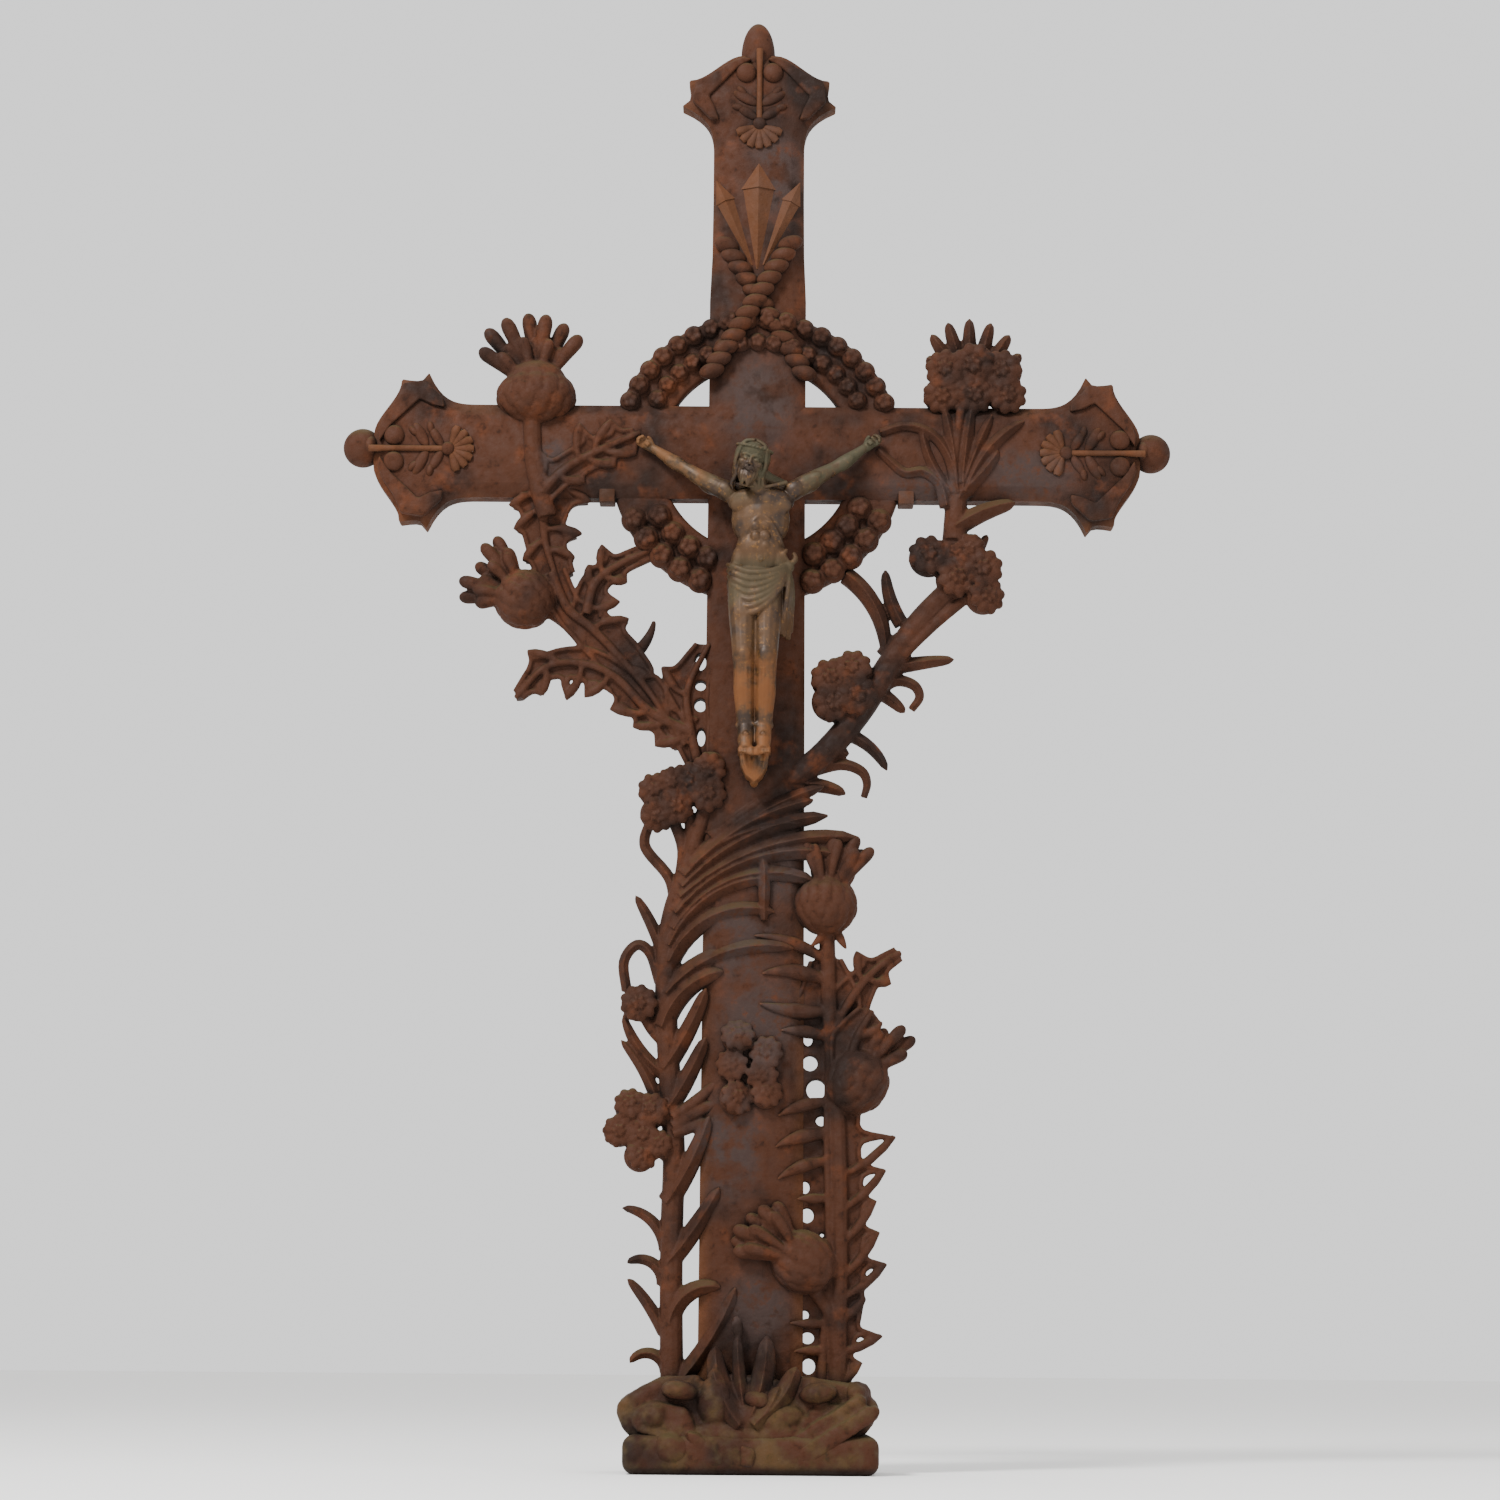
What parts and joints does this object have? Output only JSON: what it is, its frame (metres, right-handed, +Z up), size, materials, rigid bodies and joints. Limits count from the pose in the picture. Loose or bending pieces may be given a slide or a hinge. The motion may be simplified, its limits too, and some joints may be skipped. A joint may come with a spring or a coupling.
{
  "type": "standing crucifix",
  "caption": "Standing cast iron cross with cusped ends, a wreath ring, climbing thistles and everlasting flowers, a rocky foot and a bronze-toned figure on the front.",
  "frame": {"origin": "middle of the flat underside of the foot, on the ground", "axes": "+Z up along the shaft, +X to the viewer's right along the crossbeam, and the front with the figure faces -Y"},
  "size_m": [0.7966, 0.1547, 1.4],
  "materials": {
    "rusted_iron": "rough, red-brown rust with grey bare patches and pale green lichen on upper edges",
    "patinated_bronze": "dull ochre bronze tone under a thin green patina"
  },
  "bodies": {
    "root": {"iron_cross": "rusted_iron", "corpus": "patinated_bronze"}
  },
  "joints": []
}
